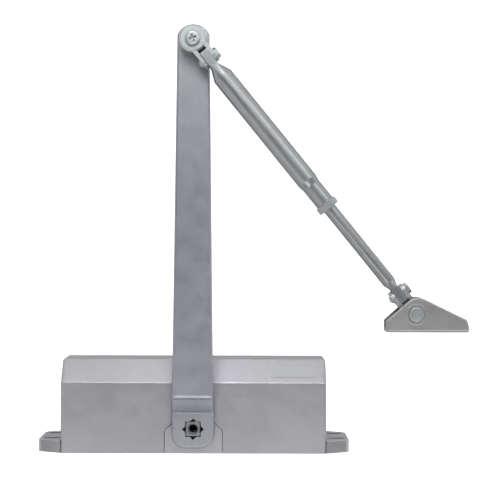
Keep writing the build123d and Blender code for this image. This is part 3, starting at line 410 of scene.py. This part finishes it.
def blank_label():
    """A plain foil plate with a raised rim, stuck on the right end of the cover's upper bevel."""
    low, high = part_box("front_cover")
    slope = math.atan2(BEVEL_DEPTH, BEVEL_HEIGHT)
    middle = Vector((high[0] - LABEL_FROM_END, high[1] - BEVEL_DEPTH / 2, high[2] - BEVEL_HEIGHT / 2))
    shape = bmesh.new()
    outline = rounded_rectangle(LABEL_WIDTH, LABEL_HEIGHT, LABEL_CORNER)
    base = shape.faces.new([shape.verts.new((x, y, 0.0)) for x, y in outline])
    raised = bmesh.ops.extrude_face_region(shape, geom=[base])["geom"]
    upper = [v for v in raised if isinstance(v, bmesh.types.BMVert)]
    bmesh.ops.translate(shape, verts=upper, vec=(0.0, 0.0, LABEL_THICKNESS))
    top = [f for f in raised if isinstance(f, bmesh.types.BMFace)]
    bmesh.ops.inset_region(shape, faces=top, thickness=LABEL_RIM, depth=0.0)
    bmesh.ops.inset_region(shape, faces=top, thickness=LABEL_THICKNESS / 2, depth=-LABEL_THICKNESS / 2)
    turn = Matrix.Translation(middle) @ Matrix.Rotation(slope - math.pi / 2, 4, "X")
    bmesh.ops.transform(shape, matrix=turn, verts=shape.verts)
    piece("blank_label", shape, label_foil, "closer_body")


def spindle_thread():
    """Helical ridge of the screw thread in the spindle's upper end."""
    steps = 40
    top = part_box("spindle")[1][2] - THREAD_START
    shape = bmesh.new()
    rings = []
    for step in range(THREAD_TURNS * steps + 1):
        angle = 2 * math.pi * step / steps
        fade = min(1.0, step / steps * 2, (THREAD_TURNS * steps - step) / steps * 2)
        crest = THREAD_R - THREAD_HEIGHT * fade
        height = top - THREAD_PITCH * step / steps
        half = THREAD_PITCH * 0.45
        ring = []
        for radius, z in ((THREAD_R, height + half), (crest, height), (THREAD_R, height - half)):
            x = spindle_axis.x + radius * math.cos(angle)
            y = spindle_axis.y + radius * math.sin(angle)
            ring.append(shape.verts.new((x, y, z)))
        rings.append(ring)
    for first, second in zip(rings, rings[1:]):
        for a, b in ((0, 1), (1, 2), (2, 0)):
            shape.faces.new((first[a], first[b], second[b], second[a]))
    shape.faces.new(rings[0])
    shape.faces.new(rings[-1][::-1])
    piece("spindle_thread", shape, steel_spindle, "arm")


def squashed_spring():
    """The closing spring's coil: a copy of the part's mesh riding on the closer's body, with the original part
    hidden.
    """
    made = bpy.data.objects.new("spring_coil", nodes["closing_spring"].data.copy())
    bpy.context.scene.collection.objects.link(made)
    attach(made, "closer_body")
    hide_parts("closing_spring")
    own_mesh(made)


blank_label()
spindle_thread()
squashed_spring()


# ---------------------------------------------------------------- studio
def area_light(name, place, target, size, power):
    data = bpy.data.lights.new(name, "AREA")
    data.shape = "RECTANGLE"
    data.size, data.size_y = size
    data.energy = power
    light = bpy.data.objects.new(name, data)
    bpy.context.scene.collection.objects.link(light)
    light.location = place
    light.rotation_euler = (Vector(target) - Vector(place)).to_track_quat("-Z", "Y").to_euler()


def floor():
    """A plain pale floor far below the closer; metal doesn't mirror it, so edges keep their outline."""
    low, high = cad_box
    mesh = bpy.data.meshes.new("floor")
    shape = bmesh.new()
    bmesh.ops.create_grid(shape, x_segments=1, y_segments=1, size=FLOOR_HALF_WIDTH)
    shape.to_mesh(mesh)
    shape.free()
    made = bpy.data.objects.new("floor", mesh)
    made.location = ((low[0] + high[0]) / 2, (low[1] + high[1]) / 2, low[2] - FLOOR_DROP)
    bpy.context.scene.collection.objects.link(made)
    s = Surface("floor")
    tone = s.blend(s.noise(0.2, 3.0), linear("F6F6F6"), linear("FBFBFB"))
    s.shader.inputs["Emission Color"].default_value = WHITE
    s.shader.inputs["Emission Strength"].default_value = FLOOR_GLOW
    mesh.materials.append(s.finish(tone, 0.9, 0.0))
    made.visible_glossy = False


def studio():
    """Boxes on the near and far sides, weak fills by the elbow and body, and a bright horizon."""
    low, high = cad_box
    middle = (Vector(low) + Vector(high)) / 2
    for name, (azimuth, elevation, size, power) in FAR_LIGHTS.items():
        flat = math.cos(math.radians(elevation))
        east = flat * math.cos(math.radians(azimuth))
        north = flat * math.sin(math.radians(azimuth))
        way = Vector((east, north, math.sin(math.radians(elevation))))
        area_light(name, middle + LIGHT_DISTANCE * way, middle, size, power)
    for name, (place, target, size, power) in CLOSE_LIGHTS.items():
        area_light(name, place, target, size, power)
    horizon_world()


def horizon_world():
    """World light that is brightest at the horizon, dim below it and dark above."""
    world = bpy.data.worlds.new("studio")
    world.use_nodes = True
    tree = world.node_tree
    place = tree.nodes.new("ShaderNodeTexCoord").outputs["Generated"]
    split = tree.nodes.new("ShaderNodeSeparateXYZ")
    tree.links.new(place, split.inputs["Vector"])

    def ramp(value, start, end, low, high):
        made = tree.nodes.new("ShaderNodeMapRange")
        made.inputs["From Min"].default_value = start
        made.inputs["From Max"].default_value = end
        made.inputs["To Min"].default_value = low
        made.inputs["To Max"].default_value = high
        tree.links.new(value, made.inputs["Value"])
        return made.outputs["Result"]

    distance = tree.nodes.new("ShaderNodeMath")
    distance.operation = "ABSOLUTE"
    tree.links.new(split.outputs["Z"], distance.inputs[0])
    band = ramp(distance.outputs[0], 0.0, SKY_BAND, SKY_HORIZON, 0.0)
    below = ramp(split.outputs["Z"], -SKY_BAND, 0.0, SKY_BELOW, 0.0)
    both = tree.nodes.new("ShaderNodeMath")
    both.operation = "ADD"
    tree.links.new(band, both.inputs[0])
    tree.links.new(below, both.inputs[1])
    background = tree.nodes["Background"]
    background.inputs["Color"].default_value = WHITE
    tree.links.new(both.outputs[0], background.inputs["Strength"])
    bpy.context.scene.world = world
    bpy.context.scene.view_settings.view_transform = "Standard"


def camera():
    """Above the arm's middle, looking straight down the direction of the spindle."""
    data = bpy.data.cameras.new("camera")
    data.sensor_width = CAMERA_SENSOR
    data.lens = CAMERA_LENS
    made = bpy.data.objects.new("camera", data)
    made.location = CAMERA_PLACE
    made.rotation_euler = (0.0, 0.0, CAMERA_ROLL)
    bpy.context.scene.collection.objects.link(made)
    bpy.context.scene.camera = made


floor()
studio()
camera()
